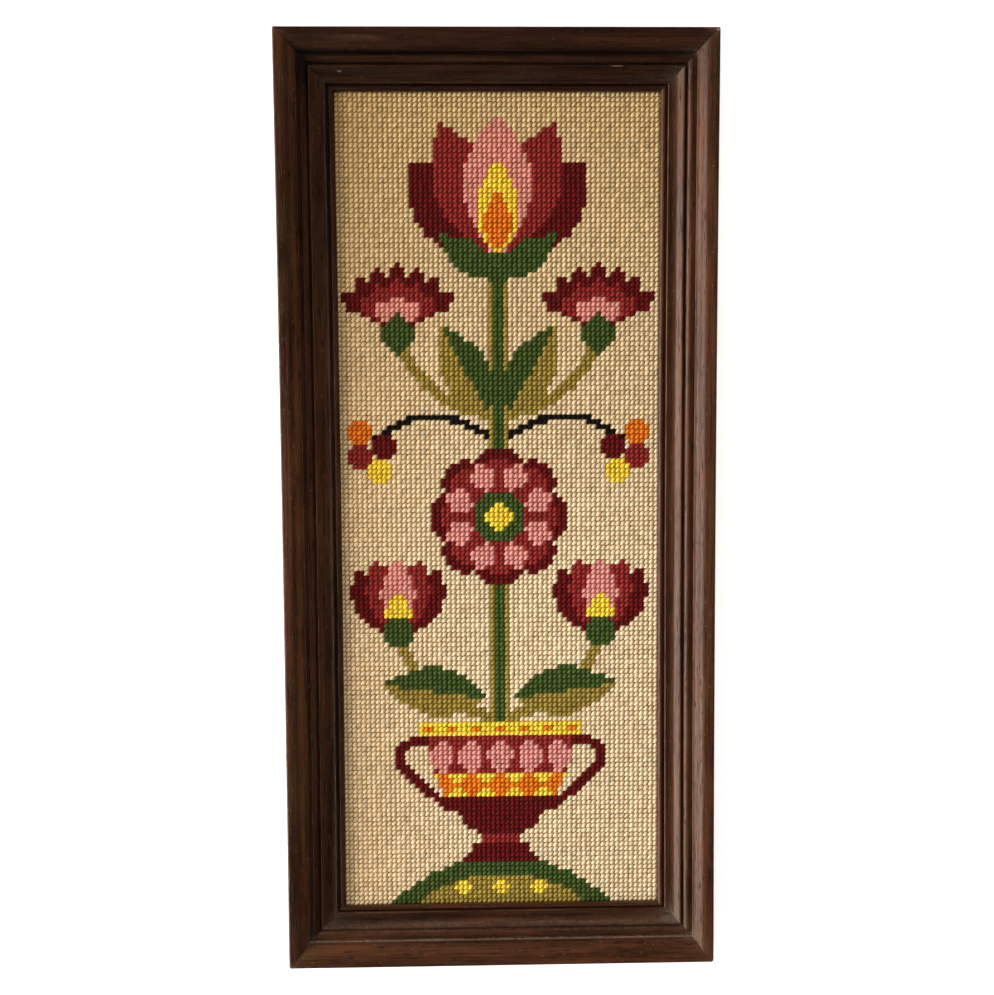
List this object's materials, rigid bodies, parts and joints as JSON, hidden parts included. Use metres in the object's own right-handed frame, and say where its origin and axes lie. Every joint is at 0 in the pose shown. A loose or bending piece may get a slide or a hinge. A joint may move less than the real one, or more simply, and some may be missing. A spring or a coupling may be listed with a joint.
{
  "type": "needlepoint canvas panel in a wooden frame",
  "caption": "Tall flat needlepoint panel, worked all over in tent stitch with a folk flower motif, held in a mitred dark wood frame with a thin inner slip.",
  "frame": {"origin": "centre of the frame's back, in the plane that the panel lies or hangs against", "axes": "+Z out of the worked face, +Y to the top of the panel, +X to its right as seen from the front"},
  "size_m": [0.225, 0.485, 0.022],
  "materials": {
    "frame_wood": "dark brown stained hardwood with open grain, satin varnish",
    "slip_wood": "dark reddish-brown stained wood, satin varnish",
    "worked_canvas": "matt wool tent stitch on cotton mesh, beige ground with reds, pinks, greens, yellow, orange and black"
  },
  "bodies": {
    "root": {"frame_top": "frame_wood", "frame_left": "frame_wood", "frame_bottom": "frame_wood", "frame_right": "frame_wood", "slip_top": "slip_wood", "slip_left": "slip_wood", "slip_bottom": "slip_wood", "slip_right": "slip_wood", "worked_canvas": "worked_canvas"}
  },
  "joints": []
}
